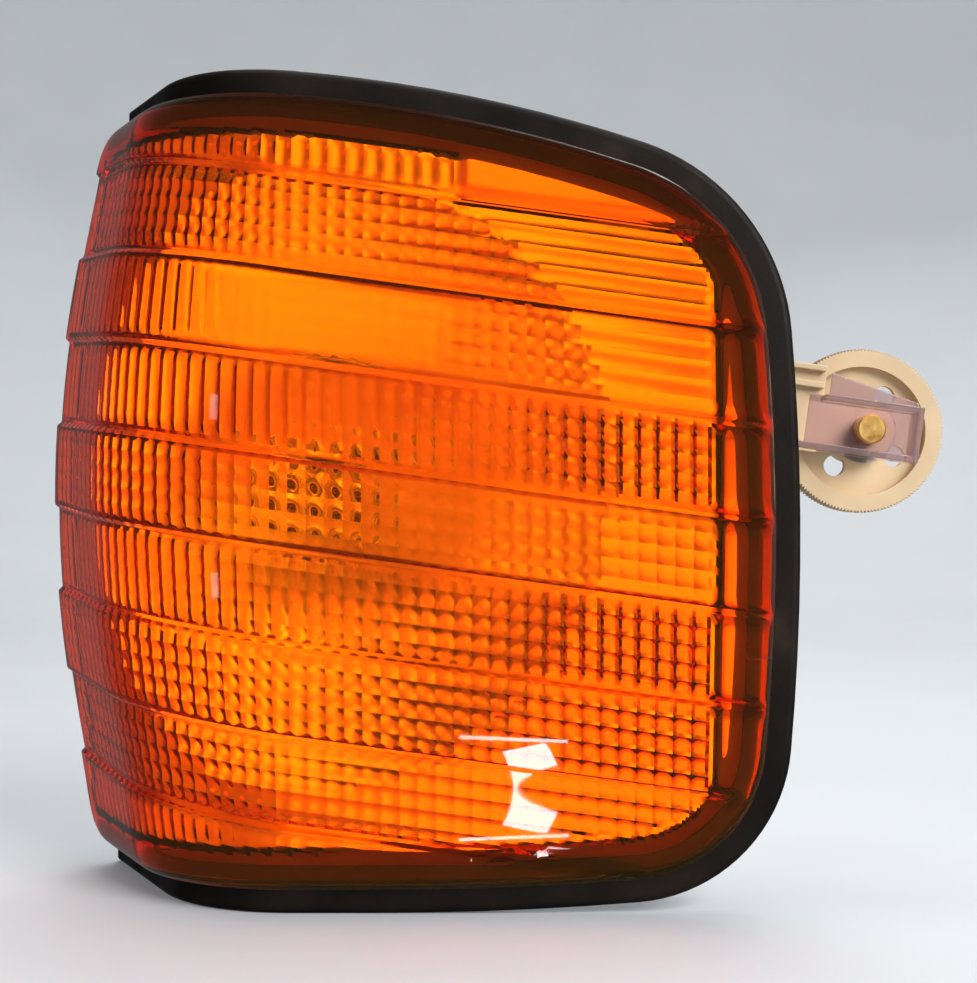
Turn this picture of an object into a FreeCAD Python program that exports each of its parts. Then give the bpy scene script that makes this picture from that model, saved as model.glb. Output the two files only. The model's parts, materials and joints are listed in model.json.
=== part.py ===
import FreeCAD, Part
import math
import os

# Front corner turn signal lamp of a car: lens, gasket, housing, reflector, bulb, bulb holder
# and the hand wheel that clamps the lamp to the wing.
# Frame, in mm: +X towards the grille, -X round the corner of the wing, +Y into the car, +Z up.
# Origin: where the bulb's axis, which lies along Y, meets the gasket's rear face.

V = FreeCAD.Vector
ALONG_Y = V(0, 1, 0)

# Plan curve of the lens, seen from above: flat front, then a bend, then a straight side
LENS_FRONT_Y = -24.0
BEND_X = -2.5
BEND_RADIUS = 60.0
WRAP_ANGLE = math.radians(64)

# Depths behind the lens's outer face, measured square to it
FLANGE_FRONT = 18.0
LENS_REAR = 20.0
GASKET_REAR = 24.0
SIDE_FLOOR_DEPTH = 28.0

# Front outline of the gasket: five tangent arcs from the bottom edge round to the top edge
BOTTOM_ARC = (20.0, 691.1, 800.0)
SIDE_ARC = (-493.8, -14.0, 620.0)
TOP_ARC = (-32.5, -275.25, 380.0)
LOW_CORNER_RADIUS = 42.0
HIGH_CORNER_RADIUS = 55.0

# Wing end of the lamp: a leaning cut across the straight side
SIDE_LENGTH = 42.0
END_LEAN = 0.06

# Insets from the gasket's outer edge, and from its wing end
LENS_INSET = 7.0
LENS_END_INSET = 1.5
LENS_WALL = 2.5
LENS_ROUNDING = 12.0
GASKET_ROUNDING = 2.0
SEAL_WIDTH = 4.0
SEAL_HEIGHT = 1.2
TUB_INSET = 20.0
TUB_END_INSET = 8.0
WALL = 2.0
LEDGE_GAP = 0.5
LEDGE_INSET = 17.0
LEDGE_END_INSET = 9.0

# Housing and reflector depths along Y
TUB_FLOOR_Y = 25.0
BOWL_REAR_Y = 66.0
REAR_WALL = 4.0
REFLECTOR_VERTEX_Y = 57.0
FOCAL_LENGTH = 23.7
REFLECTOR_SKIN = 1.5
REFLECTOR_HOLE_RADIUS = 13.5

# Bulb, 15 mm bayonet cap
PIN_Y = 65.1
CAP_RADIUS = 7.5
CAP_FRONT_Y = 54.0
CAP_REAR_Y = 71.5
TIP_Y = 72.5
GLASS_RADIUS = 12.5
GLASS_CENTRE_Y = 33.3
BULB_TRAVEL = 2.0

# Bulb holder
NECK_RADIUS = 16.9
NECK_HOLE_RADIUS = 17.2
LUG_RADIUS = 20.0
NOTCH_RADIUS = 20.4
LUG_ANGLES = (0, 120, 240)
HOLDER_TURN = 35.0
FLANGE_RADIUS = 24.0
FLANGE_Y = 68.0
SOCKET_RADIUS = 8.3
SOCKET_BORE_RADIUS = 7.6
SOCKET_REAR_Y = 75.0
BLADE_HALF_WIDTH = 3.15
BLADE_THICKNESS = 0.8
GROUND_BLADE_Z = -8.1
LIVE_BLADE_Z = 3.0
STEM_BORE_RADIUS = 1.65
INSULATOR_Y = 80.0
HOLDER_REAR_Y = 88.0
SHROUD_REAR_Y = 98.0

# Clamp: stud axis along Y, arm and tray tilted down towards the grille
EDGE_ROUNDING = 0.35
STUD_X = 152.0
STUD_Z = 14.4
STUD_RADIUS = 4.0
STUD_FRONT_Y = 34.0
STUD_REAR_Y = 72.0
RELIEF_Y = 61.0
ARM_TILT = -8.0
ARM_FRONT_Y = 41.0
ARM_THICKNESS = 4.0
ARM_SCREW_U = (-72.0, -54.0)
TRAY_RELIEF = 0.1
WASHER_THICKNESS = 1.6
WHEEL_FRONT_Y = 48.0
WHEEL_RADIUS = 23.0
WHEEL_THICKNESS = 10.0
WHEEL_REAR_Y = 62.0
KNURL_TEETH = 150
KNURL_DEPTH = 0.8
WHEEL_HOLE_RADIUS = 2.95
WHEEL_HOLE_CIRCLE = 12.0

# Locating pegs and vent on the back of the tub, as (x, z)
PEGS = ((78.0, -68.0), (84.0, 66.0))
PEG_RADIUS = 4.0
PEG_ROOT_RADIUS = 4.6
PEG_ROOT_Y = 31.0
PEG_REAR_Y = 45.0
VENT = (52.0, -74.0)

FAR = 150.0


def box(x0, x1, y0, y1, z0, z1):
    return Part.makeBox(x1 - x0, y1 - y0, z1 - z0, V(x0, y0, z0))


def rod(radius, y0, y1, x=0.0, z=0.0):
    """A cylinder along Y."""
    return Part.makeCylinder(radius, y1 - y0, V(x, y0, z), ALONG_Y)


def ring(outer, inner, y0, y1, x=0.0, z=0.0):
    return rod(outer, y0, y1, x, z).cut(rod(inner, y0, y1, x, z))


def cone(radius0, radius1, y0, y1):
    return Part.makeCone(radius0, radius1, y1 - y0, V(0, y0, 0), ALONG_Y)


def about_y(shape, degrees, x=0.0, z=0.0):
    """A copy turned about an axis along Y; positive turns +Z towards +X."""
    turned = shape.copy()
    turned.rotate(V(x, 0, z), ALONG_Y, degrees)
    return turned


def fuse(shapes):
    return shapes[0].multiFuse(shapes[1:]).removeSplitter()


def prism(edges, travel):
    return Part.Face(Part.Wire(edges)).extrude(travel)


def revolve(points):
    """Solid of revolution about Y of a closed polygon of (radius, y) points."""
    corners = [V(radius, y, 0) for radius, y in points]
    wire = Part.makePolygon(corners + corners[:1])
    return Part.Face(wire).revolve(V(0, 0, 0), ALONG_Y, 360)


def bend_point(offset, angle):
    """A point on the bend, `offset` behind the lens's outer face and `angle` round it."""
    radius = BEND_RADIUS - offset
    centre_y = LENS_FRONT_Y + BEND_RADIUS
    return V(BEND_X - radius * math.sin(angle), centre_y - radius * math.cos(angle), -FAR)


def behind(offset):
    """All the space behind the plan curve that lies `offset` inside the lens's outer face."""
    start = bend_point(offset, 0)
    middle = bend_point(offset, WRAP_ANGLE / 2)
    end = bend_point(offset, WRAP_ANGLE)
    far_left = end + V(-math.cos(WRAP_ANGLE), math.sin(WRAP_ANGLE), 0) * FAR
    far_right = V(FAR, far_left.y, -FAR)
    right = V(FAR, start.y, -FAR)
    edges = [
        Part.makeLine(right, start),
        Part.Arc(start, middle, end).toShape(),
        Part.makeLine(end, far_left),
        Part.makeLine(far_left, far_right),
        Part.makeLine(far_right, right),
    ]
    return prism(edges, V(0, 0, 2 * FAR))


def corner_centre(arc_a, arc_b, radius):
    """Centre of the corner arc that runs tangent inside two larger arcs, on their +X side."""
    ax, az, ar = arc_a
    bx, bz, br = arc_b
    reach_a = ar - radius
    reach_b = br - radius
    apart = math.hypot(bx - ax, bz - az)
    along = (reach_a**2 - reach_b**2 + apart**2) / (2 * apart)
    across = math.sqrt(reach_a**2 - along**2)
    ux = (bx - ax) / apart
    uz = (bz - az) / apart
    either = [(ax + along * ux - s * across * uz, az + along * uz + s * across * ux) for s in (1, -1)]
    return max(either)


def outline(inset):
    """The lamp's front outline, `inset` inside the gasket's outer edge, as a prism along Y."""
    low = corner_centre(BOTTOM_ARC, SIDE_ARC, LOW_CORNER_RADIUS) + (LOW_CORNER_RADIUS,)
    high = corner_centre(SIDE_ARC, TOP_ARC, HIGH_CORNER_RADIUS) + (HIGH_CORNER_RADIUS,)
    arcs = [BOTTOM_ARC, low, SIDE_ARC, high, TOP_ARC]
    normals = [V(0, 0, -1)]
    for small, big in ((low, BOTTOM_ARC), (low, SIDE_ARC), (high, SIDE_ARC), (high, TOP_ARC)):
        normals.append(V(small[0] - big[0], 0, small[1] - big[1]).normalize())
    normals.append(V(0, 0, 1))
    edges = []
    for (x, z, radius), n0, n1 in zip(arcs, normals, normals[1:]):
        centre = V(x, -FAR, z)
        mid = (n0 + n1).normalize()
        points = [centre + n * (radius - inset) for n in (n0, mid, n1)]
        edges.append(Part.Arc(*points).toShape())
    low_start = edges[0].Vertexes[0].Point
    high_end = edges[-1].Vertexes[-1].Point
    low_left = V(-FAR, -FAR, low_start.z)
    high_left = V(-FAR, -FAR, high_end.z)
    edges.append(Part.makeLine(high_end, high_left))
    edges.append(Part.makeLine(high_left, low_left))
    edges.append(Part.makeLine(low_left, low_start))
    return prism(edges, V(0, 2 * FAR, 0))


def beyond_end(inset):
    """The space past the lamp's leaning wing end, starting `inset` inside it."""
    side = V(-math.cos(WRAP_ANGLE), math.sin(WRAP_ANGLE), END_LEAN).normalize()
    start = bend_point(LENS_REAR, WRAP_ANGLE)
    start.z = 0
    return Part.makeCylinder(2 * FAR, FAR, start + side * (SIDE_LENGTH - inset), side)


def trim(shape, inset, end_inset):
    return shape.common(outline(inset)).cut(beyond_end(end_inset))


def layer(front, rear, inset, end_inset):
    """A layer of the lamp between two depths behind the lens's outer face."""
    return trim(behind(front).cut(behind(rear)), inset, end_inset)


def round_front(shape, front, radius):
    """Rounds the outer edge of the face that lies `front` behind the lens's outer face."""
    face_y = LENS_FRONT_Y + front
    seam_x = {round(bend_point(front, angle).x, 3) for angle in (0, WRAP_ANGLE)}
    outside = behind(front + 0.01)
    rim = []
    for edge in shape.Edges:
        middle = edge.valueAt((edge.FirstParameter + edge.LastParameter) / 2)
        on_face = not outside.isInside(middle, 1e-4, True) and middle.y >= face_y - 1e-3
        if on_face and round(middle.x, 3) not in seam_x:
            rim.append(edge)
    return shape.makeFillet(radius, rim)


def soften(shape, radius):
    """Rounds every straight edge of a moulding."""
    straight = [edge for edge in shape.Edges if edge.Curve.TypeId == "Part::GeomLine"]
    return shape.makeFillet(radius, straight)


def in_arm_frame(shape):
    """Moves a shape drawn about the stud's axis, with its own x along the arm, into place."""
    placed = about_y(shape, -ARM_TILT)
    placed.translate(V(STUD_X, 0, STUD_Z))
    return placed


def make_lens():
    outer = round_front(layer(0, LENS_REAR, LENS_INSET, LENS_END_INSET), 0, LENS_ROUNDING)
    inner_layer = layer(LENS_WALL, LENS_REAR, LENS_INSET + LENS_WALL, LENS_END_INSET + LENS_WALL)
    return outer.cut(round_front(inner_layer, LENS_WALL, LENS_ROUNDING - LENS_WALL))


def make_lens_seal():
    inset = LENS_INSET + LENS_WALL
    end_inset = LENS_END_INSET + LENS_WALL
    band = layer(FLANGE_FRONT - SEAL_HEIGHT, FLANGE_FRONT, inset, end_inset)
    return band.cut(layer(FLANGE_FRONT - 3, FLANGE_FRONT + 1, inset + SEAL_WIDTH, end_inset + SEAL_WIDTH))


def make_body_gasket():
    sheet = round_front(layer(LENS_REAR, GASKET_REAR, 0, 0), LENS_REAR, GASKET_ROUNDING)
    return sheet.cut(layer(LENS_REAR - 1, GASKET_REAR + 1, TUB_INSET - 0.5, TUB_END_INSET - 0.5))


def make_housing():
    inset = LENS_INSET + LENS_WALL
    end_inset = LENS_END_INSET + LENS_WALL
    flange = layer(FLANGE_FRONT, LENS_REAR, inset, end_inset)
    shallow = box(-FAR, FAR, -FAR, TUB_FLOOR_Y, -FAR, FAR)
    tub = fuse([
        behind(FLANGE_FRONT).cut(behind(SIDE_FLOOR_DEPTH + WALL)),
        behind(FLANGE_FRONT).common(shallow),
        cone(66, 30, 20, BOWL_REAR_Y).common(behind(FLANGE_FRONT)),
    ])
    tub = trim(tub, TUB_INSET, TUB_END_INSET)
    shallow_inside = box(-FAR, FAR, -FAR, TUB_FLOOR_Y - WALL, -FAR, FAR)
    cavity = fuse([
        behind(FLANGE_FRONT - 1).cut(behind(SIDE_FLOOR_DEPTH)),
        behind(FLANGE_FRONT - 1).common(shallow_inside),
        cone(64, 27, 20, BOWL_REAR_Y - REAR_WALL).common(behind(FLANGE_FRONT - 1)),
    ])
    cavity = trim(cavity, TUB_INSET + WALL, TUB_END_INSET + WALL)
    shell = fuse([flange, tub]).cut(cavity)
    bosses = [in_arm_frame(rod(6, TUB_FLOOR_Y - 1, ARM_FRONT_Y, u)) for u in ARM_SCREW_U]
    screw_holes = [in_arm_frame(rod(1.7, TUB_FLOOR_Y + 2, ARM_FRONT_Y, u)) for u in ARM_SCREW_U]
    pegs = [rod(PEG_ROOT_RADIUS, TUB_FLOOR_Y - 1, PEG_ROOT_Y, x, z) for x, z in PEGS]
    pegs += [rod(PEG_RADIUS, PEG_ROOT_Y, PEG_REAR_Y, x, z) for x, z in PEGS]
    spigot = rod(4, TUB_FLOOR_Y - 1, TUB_FLOOR_Y + 8, *VENT)
    spigot_bore = rod(2.5, TUB_FLOOR_Y - 3, TUB_FLOOR_Y + 8, *VENT)
    neck_hole = rod(NECK_HOLE_RADIUS, BOWL_REAR_Y - 2 * REAR_WALL, BOWL_REAR_Y)
    cuts = screw_holes + [spigot_bore, neck_hole]
    for angle in LUG_ANGLES:
        cuts.append(about_y(lug(NOTCH_RADIUS, 5.4, 60, BOWL_REAR_Y), angle - HOLDER_TURN))
    return fuse([shell, spigot] + bosses + pegs).cut(fuse(cuts))


def lug(radius, half_width, y0, y1):
    """A radial bar of the bulb holder's bayonet, pointing up."""
    bar = box(-half_width, half_width, y0, y1, 14, radius + 5)
    return bar.common(rod(radius, y0, y1))


def paraboloid(vertex_y, rim_radius):
    """The solid in front of a paraboloid with its vertex on the bulb's axis."""
    steps = 12
    curve = [V(rim_radius * i / steps, 0, 0) for i in range(steps + 1)]
    for point in curve:
        point.y = vertex_y - point.x**2 / (4 * FOCAL_LENGTH)
    bowl = Part.BSplineCurve()
    bowl.interpolate(curve)
    front_y = curve[-1].y - 20
    corners = [curve[-1], V(rim_radius, front_y, 0), V(0, front_y, 0), curve[0]]
    edges = [bowl.toShape()] + [Part.makeLine(a, b) for a, b in zip(corners, corners[1:])]
    return Part.Face(Part.Wire(edges)).revolve(V(0, 0, 0), ALONG_Y, 360)


def make_reflector():
    """Metallised bowl whose rim ledge rests on the housing's flange, inside the lens seal."""
    front = FLANGE_FRONT - REFLECTOR_SKIN
    ledge = layer(front, FLANGE_FRONT, LEDGE_INSET, LEDGE_END_INSET)
    back_of_bowl = paraboloid(REFLECTOR_VERTEX_Y + REFLECTOR_SKIN, 90.0)
    in_tub = (TUB_INSET + WALL + LEDGE_GAP, TUB_END_INSET + WALL + LEDGE_GAP)
    bowl = trim(back_of_bowl.common(behind(front)), *in_tub)
    hollow = paraboloid(REFLECTOR_VERTEX_Y, 90.0)
    bulb_hole = rod(REFLECTOR_HOLE_RADIUS, 40, 70)
    return fuse([ledge, bowl]).cut(hollow).cut(bulb_hole)


def make_arm():
    """Cream bracket from the housing to the stud, with a raised rib along its upper half."""
    rear = ARM_FRONT_Y + ARM_THICKNESS
    plate = soften(box(-80, -13, ARM_FRONT_Y, rear, -8, 16), EDGE_ROUNDING)
    tongue = box(-14, 0, ARM_FRONT_Y, rear, -7.6, 7.6)
    eye = rod(7.6, ARM_FRONT_Y, rear)
    rib = soften(box(-46, -13.5, ARM_FRONT_Y - 2.5, ARM_FRONT_Y + 1, 9.5, 11.3), EDGE_ROUNDING)
    edge_rib = soften(box(-46, -13.5, ARM_FRONT_Y - 2.5, ARM_FRONT_Y + 1, 14.2, 15.8), EDGE_ROUNDING)
    arm = fuse([plate, tongue, eye, rib, edge_rib])
    holes = [rod(2.1, ARM_FRONT_Y, rear, u) for u in ARM_SCREW_U]
    return in_arm_frame(arm.cut(fuse(holes + [rod(STUD_RADIUS, ARM_FRONT_Y, rear)])))


def make_tray():
    """Clear tinted tray round the stud's head, with a tapering wing on its upper wall."""
    front = ARM_FRONT_Y - 9
    floor = box(-17, 13.2, ARM_FRONT_Y - 1.8, ARM_FRONT_Y, -7.65, 7.65)
    low_wall = box(-30, 13.2, front, ARM_FRONT_Y, -7.65, -5.85)
    high_wall = box(-14, 13.2, front, ARM_FRONT_Y, 5.85, 7.65)
    end_wall = box(11.4, 13.2, front, ARM_FRONT_Y, -7.65, 7.65)
    wing_corners = ((-12.5, 7), (12, 7), (12, 8.75), (-12.5, 13.85))
    wing_points = [V(u, front + 3, w) for u, w in wing_corners]
    wing = Part.Face(Part.makePolygon(wing_points + wing_points[:1])).extrude(V(0, 1.5, 0))
    tray = soften(fuse([floor, low_wall, high_wall, end_wall, wing]), EDGE_ROUNDING)
    relief = box(-17, 11.4, ARM_FRONT_Y - TRAY_RELIEF, ARM_FRONT_Y, -5.85, 5.85)
    return in_arm_frame(tray.cut(rod(STUD_RADIUS, front, ARM_FRONT_Y)).cut(relief))


def make_stud():
    shank = rod(STUD_RADIUS, STUD_FRONT_Y + 0.5, RELIEF_Y, STUD_X, STUD_Z)
    head_edge = Part.makeCone(STUD_RADIUS - 0.5, STUD_RADIUS, 0.5, V(STUD_X, STUD_FRONT_Y, STUD_Z), ALONG_Y)
    relief = rod(STUD_RADIUS - 0.7, RELIEF_Y, RELIEF_Y + 1, STUD_X, STUD_Z)
    free_end = rod(STUD_RADIUS, RELIEF_Y + 1, STUD_REAR_Y - 1, STUD_X, STUD_Z)
    tip = Part.makeCone(STUD_RADIUS, STUD_RADIUS - 1, 1, V(STUD_X, STUD_REAR_Y - 1, STUD_Z), ALONG_Y)
    return fuse([head_edge, shank, relief, free_end, tip])


def make_arm_screws():
    """Two pan-head tapping screws that hold the arm on the housing's bosses."""
    rear = ARM_FRONT_Y + ARM_THICKNESS
    screws = []
    for u in ARM_SCREW_U:
        shank = rod(1.7, ARM_FRONT_Y - 10, rear, u)
        head = rod(3.6, rear, rear + 2.2, u)
        slot = box(u - 4, u + 4, rear + 1.2, rear + 2.2, -0.5, 0.5)
        screws.append(in_arm_frame(shank.fuse(head).cut(slot)))
    return Part.makeCompound(screws)


def make_washer():
    arm_rear = ARM_FRONT_Y + ARM_THICKNESS
    return ring(9, STUD_RADIUS + 0.3, arm_rear, arm_rear + WASHER_THICKNESS, STUD_X, STUD_Z)


def make_wheel():
    """Hand wheel: fine knurled rim, shallow front recess, four holes and a central hub."""
    points = []
    for i in range(2 * KNURL_TEETH):
        radius = WHEEL_RADIUS - KNURL_DEPTH * (i % 2)
        angle = math.pi * i / KNURL_TEETH
        points.append(V(radius * math.cos(angle), WHEEL_FRONT_Y, radius * math.sin(angle)))
    rear = WHEEL_FRONT_Y + WHEEL_THICKNESS
    disc = Part.Face(Part.makePolygon(points + points[:1])).extrude(V(0, WHEEL_THICKNESS, 0))
    wheel = disc.cut(rod(18, WHEEL_FRONT_Y, WHEEL_FRONT_Y + 3)).cut(rod(20, rear - 4, rear))
    hub_front = ARM_FRONT_Y + ARM_THICKNESS + WASHER_THICKNESS
    wheel = wheel.fuse(rod(8.9, hub_front, WHEEL_REAR_Y)).cut(rod(6, hub_front, WHEEL_REAR_Y))
    for i in range(4):
        hole = rod(WHEEL_HOLE_RADIUS, WHEEL_FRONT_Y, rear, WHEEL_HOLE_CIRCLE)
        wheel = wheel.cut(about_y(hole, 36 + 90 * i))
    wheel.translate(V(STUD_X, 0, STUD_Z))
    return wheel


def make_wheel_insert():
    return ring(6, STUD_RADIUS + 0.03, WHEEL_FRONT_Y, RELIEF_Y, STUD_X, STUD_Z)


def make_grommets():
    rings = [ring(7.5, PEG_ROOT_RADIUS, TUB_FLOOR_Y, PEG_ROOT_Y - 0.5, x, z) for x, z in PEGS]
    return Part.makeCompound(rings)


def make_vent_cap():
    x, z = VENT
    cap = rod(5.6, TUB_FLOOR_Y + 1, TUB_FLOOR_Y + 11, x, z)
    cap = cap.cut(rod(4, TUB_FLOOR_Y + 1, TUB_FLOOR_Y + 8, x, z))
    return cap.cut(box(x - 0.4, x + 0.4, TUB_FLOOR_Y + 8, TUB_FLOOR_Y + 11, z - 3, z + 3))


def make_holder():
    """Plastic bulb holder with three bayonet lugs, a finger grip and a rear connector shroud."""
    disc_y = FLANGE_Y + 1.5
    neck = ring(NECK_RADIUS, 14.5, 58, disc_y)
    lugs = [about_y(lug(LUG_RADIUS, 5, 58.4, 61.95), angle) for angle in LUG_ANGLES]
    flange = rod(FLANGE_RADIUS, FLANGE_Y, FLANGE_Y + 3.5).cut(rod(14.5, FLANGE_Y, disc_y))
    cap = rod(13, FLANGE_Y + 3, HOLDER_REAR_Y)
    grip = box(-21, 21, FLANGE_Y + 3, HOLDER_REAR_Y - 4, -3, 3)
    shroud = box(-11, 11, HOLDER_REAR_Y - 1, SHROUD_REAR_Y, -11.5, 7)
    mouth = box(-9.4, 9.4, HOLDER_REAR_Y, SHROUD_REAR_Y, -9.9, 5.4)
    body = fuse([neck, flange, cap, grip, shroud] + lugs)
    bore = rod(SOCKET_RADIUS, disc_y, INSULATOR_Y + 2)
    stem_room = rod(3.2, INSULATOR_Y + 2, HOLDER_REAR_Y - 0.8)
    lug_inside = rod(14.5, 57, disc_y)
    ground_slot = blade(GROUND_BLADE_Z, SOCKET_REAR_Y - 1, HOLDER_REAR_Y)
    live_slot = blade(LIVE_BLADE_Z, INSULATOR_Y + 2, HOLDER_REAR_Y)
    return body.cut(fuse([mouth, bore, stem_room, lug_inside, ground_slot, live_slot, live_foot()]))


def blade(low_z, y0, y1):
    return box(-BLADE_HALF_WIDTH, BLADE_HALF_WIDTH, y0, y1, low_z, low_z + BLADE_THICKNESS)


def live_foot():
    """Foot of the live blade, which the contact's stem slides through."""
    low_z = -BLADE_HALF_WIDTH
    foot_y = INSULATOR_Y + 2
    high_z = LIVE_BLADE_Z + BLADE_THICKNESS
    return box(-BLADE_HALF_WIDTH, BLADE_HALF_WIDTH, foot_y, foot_y + BLADE_THICKNESS, low_z, high_z)


def make_socket():
    """Metal tube that takes the bulb's cap, with an open J slot for each bayonet pin."""
    tube = ring(SOCKET_RADIUS, SOCKET_BORE_RADIUS, CAP_FRONT_Y + 1, SOCKET_REAR_Y)
    end_y = PIN_Y + BULB_TRAVEL + 1.2
    entry = box(2.8, 5.2, CAP_FRONT_Y, end_y, 0, 10)
    run = box(-1.2, 5.2, PIN_Y + 0.8, end_y, 0, 10)
    hook = box(-1.2, 1.2, PIN_Y - 1.1, end_y, 0, 10)
    slot = fuse([entry, run, hook])
    return tube.cut(slot).cut(about_y(slot, 180))


def make_ground_terminal():
    return blade(GROUND_BLADE_Z, SOCKET_REAR_Y, SHROUD_REAR_Y - 1.5)


def make_live_terminal():
    tab = blade(LIVE_BLADE_Z, INSULATOR_Y + 2, SHROUD_REAR_Y - 1.5)
    return fuse([live_foot(), tab]).cut(rod(STEM_BORE_RADIUS, INSULATOR_Y, INSULATOR_Y + 4))


def make_insulator():
    disc = ring(SOCKET_RADIUS, STEM_BORE_RADIUS, INSULATOR_Y, INSULATOR_Y + 2)
    notch_z = GROUND_BLADE_Z + BLADE_THICKNESS
    return disc.cut(box(-BLADE_HALF_WIDTH, BLADE_HALF_WIDTH, INSULATOR_Y, INSULATOR_Y + 2, -9, notch_z))


def make_holder_seal():
    return ring(22.5, 18.5, BOWL_REAR_Y, FLANGE_Y)


def make_plunger():
    head = rod(3, TIP_Y, TIP_Y + 1.5)
    stem = rod(1.6, TIP_Y + 1.5, 84.5)
    return head.fuse(stem).removeSplitter()


def coil(turns, length, radius, wire_radius):
    """A helical wire that starts at the origin and winds along Y."""
    steps = 8 * turns
    points = []
    for i in range(steps + 1):
        angle = 2 * math.pi * turns * i / steps
        points.append(V(radius * math.cos(angle), length * i / steps, radius * math.sin(angle)))
    spine = Part.BSplineCurve()
    spine.interpolate(points)
    tangent = V(0, length, 2 * math.pi * turns * radius)
    section = Part.Wire([Part.makeCircle(wire_radius, points[0], tangent)])
    return Part.Wire([spine.toShape()]).makePipeShell([section], True, True)


def make_spring():
    """Coil spring between the plunger's head and the insulator."""
    wire_radius = 0.3
    start_y = TIP_Y + 1.5 + wire_radius
    spring = coil(4, INSULATOR_Y - wire_radius - start_y, 2.4, wire_radius)
    spring.translate(V(0, start_y, 0))
    return spring


def make_bulb_cap():
    cap = rod(CAP_RADIUS, CAP_FRONT_Y, CAP_REAR_Y)
    cap = cap.cut(rod(CAP_RADIUS - 0.4, CAP_FRONT_Y, CAP_REAR_Y - 0.4))
    cap = cap.cut(rod(4.5, CAP_REAR_Y - 1, CAP_REAR_Y))
    for side in (1, -1):
        cap = cap.cut(Part.makeCylinder(1, 3, V(0, PIN_Y, side * 6), V(0, 0, side)))
    return cap


def make_bayonet_pins():
    pins = [Part.makeCylinder(1, 1.7, V(0, PIN_Y, side * 7.0), V(0, 0, side)) for side in (1, -1)]
    return Part.makeCompound(pins)


def glass_envelope(shrink):
    """Round bulb drawn out into a neck that stands in the cap."""
    ball = Part.makeSphere(GLASS_RADIUS - shrink, V(0, GLASS_CENTRE_Y, 0))
    taper = cone(9.5 - shrink, CAP_RADIUS - 0.4 - shrink, 40, CAP_FRONT_Y)
    neck = rod(CAP_RADIUS - 0.4 - shrink, CAP_FRONT_Y, 62)
    return fuse([ball, taper, neck])


def make_bulb_glass():
    return glass_envelope(0).cut(glass_envelope(0.6))


def make_bulb_stem():
    return rod(2.5, 46, 62).fuse(cone(2.5, CAP_RADIUS - 1.0, 56, 62)).removeSplitter()


def make_filament():
    """Coiled wire across the bulb, between its two supports."""
    filament = coil(8, 5.6, 0.6, 0.15)
    filament.rotate(V(0, 0, 0), V(0, 0, 1), 90)
    filament.translate(V(2.8, GLASS_CENTRE_Y, 0))
    return filament


def make_filament_supports():
    legs = [rod(0.35, GLASS_CENTRE_Y - 1, 46, side * 3.3) for side in (1, -1)]
    return Part.makeCompound(legs)


def make_bulb_insulator():
    return rod(4.5, CAP_REAR_Y - 0.4, CAP_REAR_Y + 0.3)


def make_bulb_tip():
    return rod(2.4, CAP_REAR_Y + 0.3, TIP_Y)


PARTS = {
    "lens": make_lens,
    "lens_seal": make_lens_seal,
    "body_gasket": make_body_gasket,
    "housing": make_housing,
    "reflector": make_reflector,
    "mounting_arm": make_arm,
    "lug_tray": make_tray,
    "clamp_stud": make_stud,
    "arm_screws": make_arm_screws,
    "thrust_washer": make_washer,
    "thumbwheel": make_wheel,
    "wheel_insert": make_wheel_insert,
    "peg_grommets": make_grommets,
    "vent_cap": make_vent_cap,
    "bulb_holder": make_holder,
    "bulb_socket": make_socket,
    "ground_terminal": make_ground_terminal,
    "live_terminal": make_live_terminal,
    "contact_insulator": make_insulator,
    "holder_seal": make_holder_seal,
    "contact_plunger": make_plunger,
    "contact_spring": make_spring,
    "bulb_cap": make_bulb_cap,
    "bayonet_pins": make_bayonet_pins,
    "bulb_glass": make_bulb_glass,
    "bulb_stem": make_bulb_stem,
    "filament": make_filament,
    "filament_supports": make_filament_supports,
    "bulb_insulator": make_bulb_insulator,
    "bulb_tip": make_bulb_tip,
}

os.makedirs("parts", exist_ok=True)
for node, make in PARTS.items():
    shape = make()
    shape.exportStep(f"parts/{node}.step")
    state = "valid" if shape.isValid() else "INVALID"
    print(node, len(shape.Solids), "solids", round(shape.Volume, 1), "mm3", state)
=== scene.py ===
import json
import math

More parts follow.
